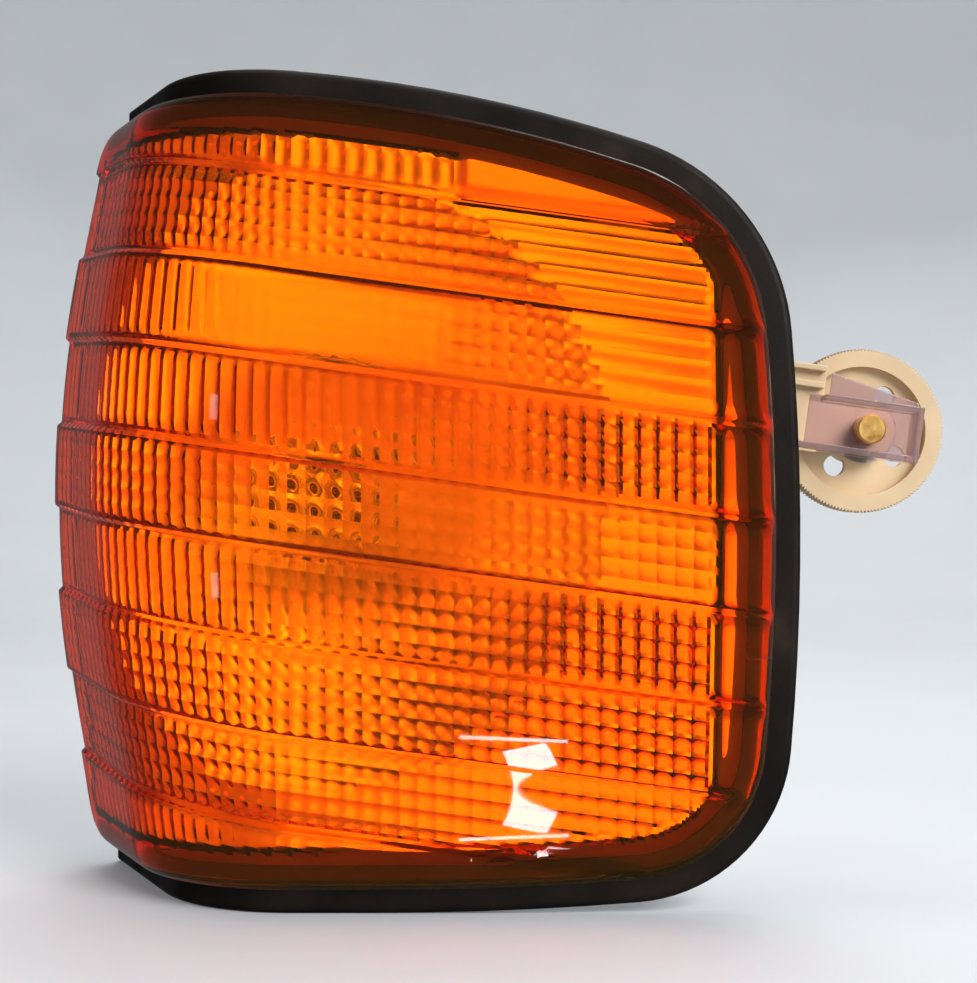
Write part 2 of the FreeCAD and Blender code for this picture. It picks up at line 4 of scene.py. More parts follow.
import bmesh
import bpy
import numpy as np
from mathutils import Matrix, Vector


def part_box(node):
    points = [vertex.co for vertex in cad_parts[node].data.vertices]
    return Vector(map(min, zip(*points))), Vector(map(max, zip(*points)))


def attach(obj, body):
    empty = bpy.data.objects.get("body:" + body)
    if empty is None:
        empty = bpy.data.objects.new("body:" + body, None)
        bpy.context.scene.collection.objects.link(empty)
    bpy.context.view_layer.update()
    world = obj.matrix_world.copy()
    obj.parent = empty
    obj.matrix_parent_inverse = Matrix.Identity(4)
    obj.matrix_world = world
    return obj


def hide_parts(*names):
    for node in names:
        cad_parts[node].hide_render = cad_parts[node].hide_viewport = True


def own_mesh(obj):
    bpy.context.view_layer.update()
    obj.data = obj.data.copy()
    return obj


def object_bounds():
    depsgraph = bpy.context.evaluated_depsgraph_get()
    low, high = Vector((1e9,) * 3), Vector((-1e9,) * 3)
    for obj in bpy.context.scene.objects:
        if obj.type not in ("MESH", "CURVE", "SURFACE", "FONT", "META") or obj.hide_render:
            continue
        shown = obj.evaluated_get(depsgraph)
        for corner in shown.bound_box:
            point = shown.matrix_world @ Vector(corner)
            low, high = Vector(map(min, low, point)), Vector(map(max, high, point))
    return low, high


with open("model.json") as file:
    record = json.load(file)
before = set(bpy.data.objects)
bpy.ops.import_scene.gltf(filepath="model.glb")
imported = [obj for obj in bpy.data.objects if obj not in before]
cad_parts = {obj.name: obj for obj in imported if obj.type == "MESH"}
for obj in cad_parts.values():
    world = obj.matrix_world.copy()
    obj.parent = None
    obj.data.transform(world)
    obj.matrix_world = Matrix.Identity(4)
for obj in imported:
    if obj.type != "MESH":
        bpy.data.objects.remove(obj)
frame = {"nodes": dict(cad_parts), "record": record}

# Front corner turn signal lamp. Lengths are in metres, in the CAD model's frame:
# +X towards the grille, -X round the corner of the wing, +Y into the car, +Z up.
# Lamp dimensions are written in millimetres and turned into metres where a mesh is made.

CAD_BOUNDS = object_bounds()
MM = 0.001
CREASE_ANGLE = math.radians(40)

# --- Lamp dimensions, the same as the CAD model's, in mm ----------------------------------
LENS_FRONT_Y = -24.0
BEND_X = -2.5
BEND_RADIUS = 60.0
WRAP_ANGLE = math.radians(64)
LENS_DEPTH = 20.0
GASKET_TOP_Z = 104.75
GASKET_BOTTOM_Z = -108.9
BOTTOM_ARC = (20.0, 691.1, 800.0)
SIDE_ARC = (-493.8, -14.0, 620.0)
TOP_ARC = (-32.5, -275.25, 380.0)
LOW_CORNER_RADIUS = 42.0
HIGH_CORNER_RADIUS = 55.0
SIDE_LENGTH = 42.0
END_LEAN = 0.06
LENS_INSET = 7.0
SNAP_STEP = 0.01
SNAP_ROUNDS = 4

# --- Lens: crowned form, rounded rim, ribs outside, optics inside, in mm -------------------
CROWN_DROP = 7.5
CROWN_HALF_HEIGHT = 70.0
CROWN_LIMIT = 13.0
LENS_WALL = 2.3
FLANGE_WALL = 4.3
FLANGE_RAMP = 4.0
SKIRT_WALL = 3.2
SKIRT_HEIGHT = 3.4
RIM_WIDTH = 9.0
RIM_STEPS = 9
END_STEEPNESS = 2.0
END_BLEND = 5.0
BAND_TILT = math.tan(math.radians(8))
FIRST_RIB = 75.1
BAND_PITCH = 23.0
RIB_COUNT = 8
RIB_STEP = 1.2
RIB_RISER = 1.4
RIB_BEAD = 1.8
RIB_BEAD_HALF_WIDTH = 2.0
FLUTE_PITCH = 4.46
ROW_PITCH = BAND_PITCH / 5
OPTICS_RIGHT = 101.5
OPTICS_INSET = 18.5
TOP_BAND_RIGHT = 39.0
FIELD_RAMP = 1.0
FIELD_END_HALF_RAMP = 0.3
CELL_STEPS = 5
SHELL_STEP = 1.35
BAND_STEPS = 17
RISER_SHARES = (-0.5, -0.25, 0.0, 0.25, 0.5)
NEAR_RISER = 0.8
GRILLE_END = 130.0
WING_MARGIN = 12.0
HEIGHT_MARGIN = 30.0
LENS_SHARP_ANGLE = math.radians(24)


def smooth(low, high, x):
    """Eases from 0 where x is at `low` to 1 where it is at `high`."""
    t = np.clip((x - low) / (high - low), 0.0, 1.0)
    return t * t * (3 - 2 * t)


def corner_arc(arc_a, arc_b, radius):
    """The arc of that radius which runs tangent inside two larger arcs, on their +X side."""
    ax, az, ar = arc_a
    bx, bz, br = arc_b
    apart = math.hypot(bx - ax, bz - az)
    along = ((ar - radius) ** 2 - (br - radius) ** 2 + apart**2) / (2 * apart)
    across = math.sqrt((ar - radius) ** 2 - along**2)
    ux = (bx - ax) / apart
    uz = (bz - az) / apart
    sides = [(ax + along * ux - s * across * uz, az + along * uz + s * across * ux) for s in (1, -1)]
    return max(sides) + (radius,)


LOW_CORNER = corner_arc(BOTTOM_ARC, SIDE_ARC, LOW_CORNER_RADIUS)
HIGH_CORNER = corner_arc(SIDE_ARC, TOP_ARC, HIGH_CORNER_RADIUS)


def plan(s, offset):
    """Plan position at distance s along the outer face's curve and `offset` behind that face."""
    turn = np.clip((BEND_X - s) / BEND_RADIUS, 0.0, WRAP_ANGLE)
    past = np.maximum(0.0, BEND_X - WRAP_ANGLE * BEND_RADIUS - s)
    radius = BEND_RADIUS - offset
    x = np.maximum(s, BEND_X) - radius * np.sin(turn) - past * math.cos(WRAP_ANGLE)
    y = LENS_FRONT_Y + BEND_RADIUS - radius * np.cos(turn) + past * math.sin(WRAP_ANGLE)
    return x, y


def within(arc, x, z):
    """Distance inside an arc, given as its centre's x and z and its radius."""
    return arc[2] - np.hypot(x - arc[0], z - arc[1])


def in_corner(corner, arc_a, arc_b, x, z):
    """Whether a point faces a corner arc, between the normals where it meets its neighbours."""
    px = x - corner[0]
    pz = z - corner[1]
    ax, az = corner[0] - arc_a[0], corner[1] - arc_a[1]
    bx, bz = corner[0] - arc_b[0], corner[1] - arc_b[1]
    return (ax * pz - az * px > 0) & (px * bz - pz * bx > 0)


def inset(s, z):
    """Distance inside the gasket's outer edge, with the wing end's corners rounded."""
    x, _ = plan(s, LENS_DEPTH)
    bottom = np.where(x < BOTTOM_ARC[0], z - GASKET_BOTTOM_Z, within(BOTTOM_ARC, x, z))
    top = np.where(x < TOP_ARC[0], GASKET_TOP_Z - z, within(TOP_ARC, x, z))
    edge = np.minimum(np.minimum(bottom, top), within(SIDE_ARC, x, z))
    edge = np.where(in_corner(LOW_CORNER, BOTTOM_ARC, SIDE_ARC, x, z), within(LOW_CORNER, x, z), edge)
    edge = np.where(in_corner(HIGH_CORNER, SIDE_ARC, TOP_ARC, x, z), within(HIGH_CORNER, x, z), edge)
    past = BEND_X - WRAP_ANGLE * BEND_RADIUS - s
    end = LENS_INSET + END_STEEPNESS * (SIDE_LENGTH - END_LEAN * z - past)
    return -END_BLEND * np.logaddexp(-edge / END_BLEND, -end / END_BLEND)


def snap(s, z, target):
    """Moves points square onto the curve where the inset has the target value."""
    for _ in range(SNAP_ROUNDS):
        here = inset(s, z)
        ds = (inset(s + SNAP_STEP, z) - here) / SNAP_STEP
        dz = (inset(s, z + SNAP_STEP) - here) / SNAP_STEP
        pull = (target - here) / (ds * ds + dz * dz)
        s = s + pull * ds
        z = z + pull * dz
    return s, z


def tilted(s, z):
    """Height measured square to the ribs, which fall towards the grille."""
    return z + BAND_TILT * plan(s, 0.0)[0]


def rib_profile(v):
    """Alternate bands stand proud by the rib step, with a short riser between them."""
    level = np.zeros_like(v)
    for k in range(RIB_COUNT):
        line = FIRST_RIB - BAND_PITCH * k
        level += (-1) ** k * smooth(line + RIB_RISER / 2, line - RIB_RISER / 2, v)
    return RIB_STEP * level


def face_height(s, z):
    """Height of the ribbed, crowned face above the gasket, ignoring the rounded rim."""
    drop = CROWN_DROP * (z / CROWN_HALF_HEIGHT) ** 2
    limited = drop / (1 + (drop / CROWN_LIMIT) ** 4) ** 0.25
    return LENS_DEPTH - limited - rib_profile(tilted(s, z))


# Optics of each band from the top. For flutes and for rows: depth in mm at the wing side,
# in the middle and at the grille side.
BAND_OPTICS = (
    ((0.75, 0.95, 0.95), (0.10, 0.12, 0.10)),
    ((0.60, 0.45, 0.45), (0.55, 0.65, 0.90)),
    ((0.70, 0.12, 0.45), (0.10, 0.16, 0.60)),
    ((0.85, 0.85, 0.95), (0.15, 0.25, 0.75)),
    ((0.70, 0.50, 0.45), (0.50, 0.45, 0.45)),
    ((0.85, 0.80, 0.95), (0.25, 0.40, 0.90)),
    ((0.65, 0.65, 0.80), (0.60, 0.65, 0.90)),
    ((0.50, 0.30, 0.55), (0.70, 0.75, 0.75)),
    ((0.75, 0.30, 0.15), (0.15, 0.30, 0.30)),
)
OPTICS_STATIONS = (-60.0, 10.0, 85.0)

# These bands have rows and no flutes, on the grille side and outside the rim of the reflector's bowl.
BOWL_RIM = 78.2
ROWS_ONLY_BANDS = (1, 2)


def cushion(t, power):
    """Section of one prism, with a valley at 0 and 1: flatter and steeper-sided as the power rises."""
    return 1 - np.abs(2 * t - 1) ** power


def optics(s, z):
    """How far the prisms stand inwards from the lens's inner skin."""
    v = tilted(s, z)
    band = np.clip(np.floor((FIRST_RIB - v) / BAND_PITCH) + 1, 0, RIB_COUNT).astype(int)
    wing, middle, grille = OPTICS_STATIONS
    to_middle = smooth(wing, middle, s)[..., None]
    to_grille = smooth(middle, grille, s)[..., None]
    table = np.array(BAND_OPTICS)[band]
    depth = table[..., 0] * (1 - to_middle) + table[..., 1] * (to_middle - to_grille)
    depth += table[..., 2] * to_grille
    flute = np.mod((OPTICS_RIGHT - s) / FLUTE_PITCH, 1.0)
    row = np.mod((FIRST_RIB - v) / ROW_PITCH, 1.0)
    outside_bowl = smooth(BOWL_RIM, BOWL_RIM + FIELD_RAMP, np.hypot(np.maximum(s, 0.0), z))
    no_flutes = np.where(np.isin(band, ROWS_ONLY_BANDS) & (s > 0), outside_bowl, 0.0)
    power = 2 + to_grille[..., 0]
    return depth[..., 0] * (1 - no_flutes) * cushion(flute, power) + depth[..., 1] * cushion(row, power)


def field_right(s, z):
    """Where the prisms end on the grille side: sooner in the top band."""
    return np.where(tilted(s, z) > FIRST_RIB, TOP_BAND_RIGHT, OPTICS_RIGHT)


def optics_field(s, z):
    """1 where the lens carries prisms, 0 in the smooth flange round them."""
    right = field_right(s, z)
    before_end = smooth(right + FIELD_END_HALF_RAMP, right - FIELD_END_HALF_RAMP, s)
    return before_end * smooth(OPTICS_INSET, OPTICS_INSET + FIELD_RAMP, inset(s, z))


def wall_thickness(s, z):
    """Thin behind the prisms, thickening smoothly into the flange round them."""
    right = field_right(s, z)
    past_side = smooth(right, right + FLANGE_RAMP, s)
    full = OPTICS_INSET + FIELD_RAMP
    past_edge = smooth(full, full - FLANGE_RAMP, inset(s, z))
    return LENS_WALL + (FLANGE_WALL - LENS_WALL) * np.maximum(past_side, past_edge)


def rib_beads(s, z):
    """Thickening of the wall behind each rib line."""
    v = tilted(s, z)
    nearest = np.clip(np.round((FIRST_RIB - v) / BAND_PITCH), 0, RIB_COUNT - 1)
    away = v - (FIRST_RIB - BAND_PITCH * nearest)
    return RIB_BEAD * np.exp(-((away / RIB_BEAD_HALF_WIDTH) ** 2))


def inner_face(s, z):
    """Height of the inner skin above the gasket, with its prisms and the ribs' thickening."""
    prisms = optics(s, z) * optics_field(s, z)
    return face_height(s, z) - wall_thickness(s, z) - np.maximum(prisms, rib_beads(s, z))


def skin(s_lines, v_lines, face, start):
    """One skin of the lens: a grid over the face, then loops down the rounded rim to the gasket.

    Returns points in mm, faces, and the loop of vertices that stands on the gasket.
    """
    join = LENS_INSET + RIM_WIDTH
    s, v = np.meshgrid(s_lines, v_lines, indexing="ij")
    z = v - BAND_TILT * plan(s, 0.0)[0]
    inside = inset(s, z) > join
    corners = inside[:-1, :-1].astype(int) + inside[1:, :-1] + inside[:-1, 1:] + inside[1:, 1:]
    ids = np.arange(s.size).reshape(s.shape)
    cells = np.stack([ids[:-1, :-1], ids[1:, :-1], ids[1:, 1:], ids[:-1, 1:]], axis=-1)
    used, flat = np.unique(cells[corners >= 3], return_inverse=True)
    quads = flat.reshape(-1, 4)
    s = s.ravel()[used]
    z = z.ravel()[used]
    rim = rim_loop(quads)
    s[rim], z[rim] = snap(s[rim], z[rim], join)
    heights = [face(s, z)]
    all_s = [s]
    all_z = [z]
    faces = quads.tolist()
    loop = rim
    loop_s = s[rim]
    loop_z = z[rim]
    count = len(s)
    for step in range(1, RIM_STEPS + 2):
        angle = math.pi / 2 * min(step / RIM_STEPS, 1.0)
        loop_s, loop_z = snap(loop_s, loop_z, start + (join - start) * (1 - math.sin(angle)))
        rise = SKIRT_HEIGHT + (face(loop_s, loop_z) - SKIRT_HEIGHT) * math.cos(angle)
        heights.append(rise if step <= RIM_STEPS else np.zeros(len(rim)))
        all_s.append(loop_s)
        all_z.append(loop_z)
        below = count + np.arange(len(rim))
        faces += np.stack([loop, below, np.roll(below, -1), np.roll(loop, -1)], axis=-1).tolist()
        loop = below
        count += len(rim)
    s = np.concatenate(all_s)
    x, y = plan(s, LENS_DEPTH - np.concatenate(heights))
    return np.stack([x, y, np.concatenate(all_z)], axis=-1), faces, loop


def rim_loop(quads):
    """The one closed loop of vertices along the edge of a quad sheet, in order."""
    edges = {(a, b) for quad in quads.tolist() for a, b in zip(quad, quad[1:] + quad[:1])}
    step = {a: b for a, b in edges if (b, a) not in edges}
    start = min(step)
    loop = [start]
    while step[loop[-1]] != start:
        loop.append(step[loop[-1]])
    return np.array(loop)


def zip_loops(outer, inner, points):
    """Triangles between two closed loops that run the same way round."""
    centre = points[outer].mean(axis=0)

    def by_angle(loop):
        angle = np.arctan2(points[loop][:, 2] - centre[2], points[loop][:, 0] - centre[0])
        first = int(np.argmin(angle))
        angle = np.unwrap(np.roll(angle, -first))
        return np.roll(loop, -first), angle * (1 if angle[-1] > angle[0] else -1)

    def next_angle(angles, i):
        """Angle of the vertex after number i, where the first follows the last, and infinity past that."""
        if i == len(angles):
            return math.inf
        return angles[i + 1] if i + 1 < len(angles) else 2 * math.pi + angles[0]

    a, angle_a = by_angle(outer)
    b, angle_b = by_angle(inner)
    faces = []
    i = j = 0
    while i < len(a) or j < len(b):
        if next_angle(angle_a, i) <= next_angle(angle_b, j):
            faces.append((a[i % len(a)], a[(i + 1) % len(a)], b[j % len(b)]))
            i += 1
        else:
            faces.append((a[i % len(a)], b[(j + 1) % len(b)], b[j % len(b)]))
            j += 1
    return faces


def mesh_object(name, points, faces, sharp_angle=CREASE_ANGLE):
    """A closed or open mesh from points in mm, with normals outwards and sharp creases kept."""
    mesh = bpy.data.meshes.new(name)
    vertices = [tuple(point) for point in np.asarray(points) * MM]
    mesh.from_pydata(vertices, [], [tuple(int(i) for i in face) for face in faces])
    mesh.validate()
    bm = bmesh.new()
    bm.from_mesh(mesh)
    bmesh.ops.recalc_face_normals(bm, faces=bm.faces)
    bm.to_mesh(mesh)
    bm.free()
    mesh.shade_smooth()
    mesh.set_sharp_from_angle(angle=sharp_angle)
    obj = bpy.data.objects.new(name, mesh)
    bpy.context.scene.collection.objects.link(obj)
    return obj


def tube_faces(count, sides):
    """Faces of a closed tube whose points come ring by ring, with a flat face at each end."""
    faces = [tuple(range(sides)), tuple(range(count - sides, count))]
    for a in range(count - sides):
        b = a - sides + 1 if a % sides == sides - 1 else a + 1
        faces.append((a, b, b + sides, a + sides))
    return faces


def grid_lines(low, high, step, anchor):
    """Evenly spaced lines that cover a range and include the anchor."""
    first = math.floor((low - anchor) / step)
    last = math.ceil((high - anchor) / step)
    return anchor + step * np.arange(first, last + 1)


def build_lens():
    """Two skins on grids that follow the ribs and the prisms, joined by a strip along the gasket."""
    s_low = BEND_X - WRAP_ANGLE * BEND_RADIUS - SIDE_LENGTH - WING_MARGIN
    v_low = GASKET_BOTTOM_Z - HEIGHT_MARGIN
    v_high = GASKET_TOP_Z + HEIGHT_MARGIN
    ribs = FIRST_RIB - BAND_PITCH * np.arange(RIB_COUNT)
    v_even = grid_lines(v_low, v_high, BAND_PITCH / BAND_STEPS, FIRST_RIB)
    near_rib = np.min(np.abs(v_even[:, None] - ribs), axis=1) < RIB_RISER * NEAR_RISER
    risers = [ribs + RIB_RISER * share for share in RISER_SHARES]
    v_outer = np.sort(np.concatenate([v_even[~near_rib]] + risers))
    s_outer = grid_lines(s_low, GRILLE_END, SHELL_STEP, BEND_X)
    s_inner = grid_lines(s_low, GRILLE_END, FLUTE_PITCH / CELL_STEPS, OPTICS_RIGHT)
    v_inner = grid_lines(v_low, v_high, ROW_PITCH / CELL_STEPS, FIRST_RIB)
    outer, outer_faces, outer_foot = skin(s_outer, v_outer, face_height, LENS_INSET)
    inner, inner_faces, inner_foot = skin(s_inner, v_inner, inner_face, LENS_INSET + SKIRT_WALL)
    points = np.concatenate([outer, inner])
    inner_foot = inner_foot + len(outer)
    faces = outer_faces + [[i + len(outer) for i in reversed(face)] for face in inner_faces]
    faces += zip_loops(outer_foot, inner_foot, points)
    return mesh_object("lens_moulding", points, faces, LENS_SHARP_ANGLE)


# --- Clamp stud with its rolled thread, in mm ----------------------------------------------
STUD_RADIUS = 4.0
STUD_CHAMFER = 0.5
STUD_SIDES = 48
END_RING_RADIUS = 0.01
THREAD_PITCH = 1.25
THREAD_DEPTH = 0.55
THREAD_POWER = 1.2
THREAD_START = 13.0
THREAD_END_MARGIN = 1.0
THREAD_STEPS = 8
THREAD_SHARP_ANGLE = math.radians(35)


def build_stud():
    """Stud along Y: a plain head end with a small chamfer, then a rolled thread to a chamfered tip."""
    low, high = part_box("clamp_stud")
    x = (low[0] + high[0]) / 2 / MM
    z = (low[2] + high[2]) / 2 / MM
    front = low[1] / MM
    rear = high[1] / MM
    angles = 2 * math.pi * np.arange(STUD_SIDES) / STUD_SIDES
    stations = [front, front, front + STUD_CHAMFER, front + THREAD_START - THREAD_END_MARGIN]
    threaded = np.arange(front + THREAD_START, rear - THREAD_END_MARGIN, THREAD_PITCH / THREAD_STEPS)
    stations += threaded.tolist() + [rear, rear]
    points = []
    for ring, y in enumerate(stations):
        phase = np.mod(y / THREAD_PITCH - angles / (2 * math.pi), 1.0)
        groove = THREAD_DEPTH * (1 - np.abs(2 * phase - 1)) ** THREAD_POWER
        ends = smooth(front + THREAD_START, front + THREAD_START + THREAD_PITCH, y)
        radius = STUD_RADIUS - groove * ends
        radius = np.minimum(radius, STUD_RADIUS - STUD_CHAMFER + min(y - front, rear - y))
        if ring in (0, len(stations) - 1):
            radius = np.full(STUD_SIDES, END_RING_RADIUS)
        points += [(x + r * math.cos(a), y, z + r * math.sin(a)) for r, a in zip(radius, angles)]
    return mesh_object("clamp_stud_threaded", points, tube_faces(len(points), STUD_SIDES), THREAD_SHARP_ANGLE)


# --- Contact spring, in mm -----------------------------------------------------------------
SPRING_TURNS = 4
SPRING_WIRE_RADIUS = 0.3
SPRING_STEPS = 32
SPRING_SIDES = 12


def build_spring():
    """Coil along Y between the plunger's head and the insulator, which fills the CAD spring's box."""
    low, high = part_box("contact_spring")
    x = (low[0] + high[0]) / 2 / MM
    z = (low[2] + high[2]) / 2 / MM
    start = low[1] / MM + SPRING_WIRE_RADIUS
    end = high[1] / MM - SPRING_WIRE_RADIUS
    coil_radius = (high[0] - low[0]) / 2 / MM - SPRING_WIRE_RADIUS
    points = []
    for step in range(SPRING_TURNS * SPRING_STEPS + 1):
        angle = 2 * math.pi * step / SPRING_STEPS
        y = start + (end - start) * step / (SPRING_TURNS * SPRING_STEPS)
        for side in range(SPRING_SIDES):
            around = 2 * math.pi * side / SPRING_SIDES
            reach = coil_radius + SPRING_WIRE_RADIUS * math.cos(around)
            height = y + SPRING_WIRE_RADIUS * math.sin(around)
            points.append((x + reach * math.cos(angle), height, z + reach * math.sin(angle)))
    return mesh_object("contact_coil", points, tube_faces(len(points), SPRING_SIDES))


def add_spring():
    """Puts the coil on the holder with a mesh of its own. The real coil shortens by the plunger's travel,
    towards its fixed rear end.
    """
    spring = build_spring()
    add_piece(spring, "holder", "steel", "contact_spring")
    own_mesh(spring)


# --- Materials -----------------------------------------------------------------------------

# Most of a noise texture's values lie between these two.
NOISE_LOW = 0.3
NOISE_HIGH = 0.7


class Material:
    """A Principled node material with short ways to add procedural detail."""

    def __init__(self, name, color, roughness, **inputs):
        self.material = bpy.data.materials.new(name)
        self.material.use_nodes = True
        self.nodes = self.material.node_tree.nodes
        self.links = self.material.node_tree.links
        self.shader = self.nodes["Principled BSDF"]
        self.shader.inputs["Base Color"].default_value = (*color, 1)
        self.shader.inputs["Roughness"].default_value = roughness
        for key, value in inputs.items():
            self.shader.inputs[key.replace("_", " ")].default_value = value
        self.coords = self.nodes.new("ShaderNodeTexCoord").outputs["Object"]
        self.height = None

    def noise(self, scale, detail=4.0, stretch=(1, 1, 1)):
        """Noise with `scale` cells per metre."""
        mapping = self.nodes.new("ShaderNodeMapping")
        mapping.inputs["Scale"].default_value = stretch
        self.links.new(self.coords, mapping.inputs["Vector"])
        texture = self.nodes.new("ShaderNodeTexNoise")
        texture.inputs["Scale"].default_value = scale
        texture.inputs["Detail"].default_value = detail
        self.links.new(mapping.outputs["Vector"], texture.inputs["Vector"])
        return texture.outputs["Fac"]

    def ramp(self, source, stops):
        """Maps a value through (position, colour) stops."""
        node = self.nodes.new("ShaderNodeValToRGB")
        elements = node.color_ramp.elements
        while len(elements) < len(stops):
            elements.new(0.5)
        for element, (position, color) in zip(elements, stops):
            element.position = position
            element.color = (*color, 1)
        self.links.new(source, node.inputs["Fac"])
        return node.outputs["Color"]

    def spread(self, source, low, high):
        """Stretches noise to run from low to high."""
        node = self.nodes.new("ShaderNodeMapRange")
        node.inputs["From Min"].default_value = NOISE_LOW
        node.inputs["From Max"].default_value = NOISE_HIGH
        node.inputs["To Min"].default_value = low
        node.inputs["To Max"].default_value = high
        self.links.new(source, node.inputs["Value"])
        return node.outputs["Result"]

    def color(self, source, stops):
        self.links.new(self.ramp(source, stops), self.shader.inputs["Base Color"])
        return self

    def roughness(self, source, low, high):
        self.links.new(self.spread(source, low, high), self.shader.inputs["Roughness"])
        return self

    def bump(self, source, depth_mm, strength=1.0):
        node = self.nodes.new("ShaderNodeBump")
        node.inputs["Distance"].default_value = depth_mm * MM
        node.inputs["Strength"].default_value = strength
        self.links.new(source, node.inputs["Height"])
        if self.height is not None:
            self.links.new(self.height, node.inputs["Normal"])
        self.height = node.outputs["Normal"]
        self.links.new(self.height, self.shader.inputs["Normal"])
        return self

    def absorb(self, color, density):
        """Tints light by the depth of material it passes, density in 1/m."""
        node = self.nodes.new("ShaderNodeVolumeAbsorption")
        node.inputs["Color"].default_value = (*color, 1)
        node.inputs["Density"].default_value = density
        output = self.nodes["Material Output"]
        self.links.new(node.outputs["Volume"], output.inputs["Volume"])
        return self


def amber_lens():
    m = Material("amber_acrylic", (1.0, 0.70, 0.12), 0.02, Transmission_Weight=0.97, IOR=1.49)
    m.roughness(m.noise(60, 3), 0.01, 0.03)
    return m.absorb((0.998, 0.85, 0.0), 2500.0).material


def rubber():
    m = Material("black_rubber", (0.02, 0.017, 0.015), 0.55, IOR=1.5, Specular_IOR_Level=0.12)
    clean = (0.006, 0.005, 0.004)
    worn = (0.014, 0.010, 0.008)
    dusty = (0.05, 0.035, 0.02)
    m.color(m.noise(35, 6), [(0.35, clean), (0.62, worn), (0.85, dusty)])
    m.roughness(m.noise(80, 4), 0.42, 0.66)
    return m.bump(m.noise(1500, 3), 0.05).bump(m.noise(60, 3), 0.25).material


def moulded(name, dark, light, rough=(0.35, 0.5), grain=0.03):
    """Injection-moulded plastic: faint mottling, satin sheen and fine grain."""
    m = Material(name, light, rough[0], IOR=1.48)
    m.color(m.noise(45, 5), [(NOISE_LOW, dark), (NOISE_HIGH, light)])
    m.roughness(m.noise(120, 4), *rough)
    return m.bump(m.noise(1800, 2), grain).bump(m.noise(90, 3), 0.08)


def reflector():
    m = Material("metallised_plastic", (0.93, 0.91, 0.86), 0.3, Metallic=1.0)
    m.roughness(m.noise(40, 4), 0.15, 0.18)
    return m.bump(m.noise(160, 2), 0.05).material


def metal(name, dark, light, rough, scale=120, grain=0.01):
    """Metal with faint stains, uneven polish and fine grain."""
    m = Material(name, light, rough[0], Metallic=1.0)
    m.color(m.noise(scale, 5), [(NOISE_LOW, dark), (NOISE_HIGH, light)])
    m.roughness(m.noise(scale * 2, 4), *rough)
    return m.bump(m.noise(scale * 12, 3), grain)


def clear(name, color, density, rough, base=(1, 1, 1), transmission=1.0):
    """Glass or clear plastic, tinted through its depth and hazier where it is worn."""
    m = Material(name, base, rough, Transmission_Weight=transmission, IOR=1.5)
    m.roughness(m.noise(150, 3), rough, rough * 2.2)
    return m.absorb(color, density).material


MATERIALS = {
    "amber_lens": amber_lens(),
    "rubber": rubber(),
    "grey_plastic": moulded("grey_plastic", (0.26, 0.265, 0.27), (0.34, 0.345, 0.35)).material,
    "reflector": reflector(),
    "cream_plastic": moulded("cream_plastic", (0.54, 0.39, 0.23), (0.66, 0.49, 0.29)).material,
    "smoked_plastic": clear("smoked_plastic", (0.62, 0.50, 0.55), 170.0, 0.04, (0.62, 0.47, 0.46), 0.78),
    "yellow_zinc": metal("yellow_zinc", (0.62, 0.33, 0.08), (0.90, 0.58, 0.20), (0.34, 0.52), 300).material,
    "steel": metal("zinc_steel", (0.42, 0.42, 0.43), (0.62, 0.62, 0.62), (0.25, 0.42)).material,
    "brass": metal("brass", (0.55, 0.36, 0.12), (0.78, 0.56, 0.22), (0.2, 0.35)).material,
    "holder_plastic": moulded("pale_grey_plastic", (0.34, 0.34, 0.33), (0.42, 0.42, 0.41)).material,
    "insulator": moulded("phenolic", (0.06, 0.025, 0.012), (0.12, 0.05, 0.02)).material,
    "nickel": metal("nickel", (0.55, 0.53, 0.50), (0.74, 0.71, 0.66), (0.25, 0.4)).material,
    "clear_glass": clear("lamp_glass", (0.97, 0.99, 0.98), 20.0, 0.005),
    "tungsten": metal("tungsten", (0.12, 0.12, 0.12), (0.3, 0.3, 0.31), (0.3, 0.5)).material,
    "solder": metal("solder", (0.4, 0.4, 0.39), (0.6, 0.6, 0.58), (0.3, 0.5)).material,
}


def paint(obj, material):
    obj.data.materials.clear()
    obj.data.materials.append(material)


def dress_cad_nodes():
    """Gives every CAD node the finish of its material slot."""
    slots = {part["node"]: part["material_slot"] for part in frame["record"]["subparts"]}
    for node, obj in frame["nodes"].items():
        for slot in obj.material_slots:
            slot.material = MATERIALS[slots[node]]


def add_piece(piece, body, slot, node):
    """Puts a piece on its body, in the finish of a material slot, in place of a CAD node."""
    paint(piece, MATERIALS[slot])
    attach(piece, body)
    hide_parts(node)


def add_lens():
    """The lens lets light samples through to the reflector, as the real one lets light in."""
    lens = build_lens()
    lens.visible_shadow = False
    add_piece(lens, "lamp", "amber_lens", "lens")
    return lens


def let_light_through():
    """The bulb's glass and the smoky tray cast no shadows, like the lens."""
    for node in ("bulb_glass", "lug_tray"):
        frame["nodes"][node].visible_shadow = False


# --- Studio --------------------------------------------------------------------------------

FLOOR_RADIUS = 0.9
FLOOR_RINGS = 3
FLOOR_SIDES = 96
SWEEP_RADIUS = 2.2
SWEEP_HEIGHT = 2.0
SWEEP_STEPS = 18
FLOOR_GLOW = 0.12


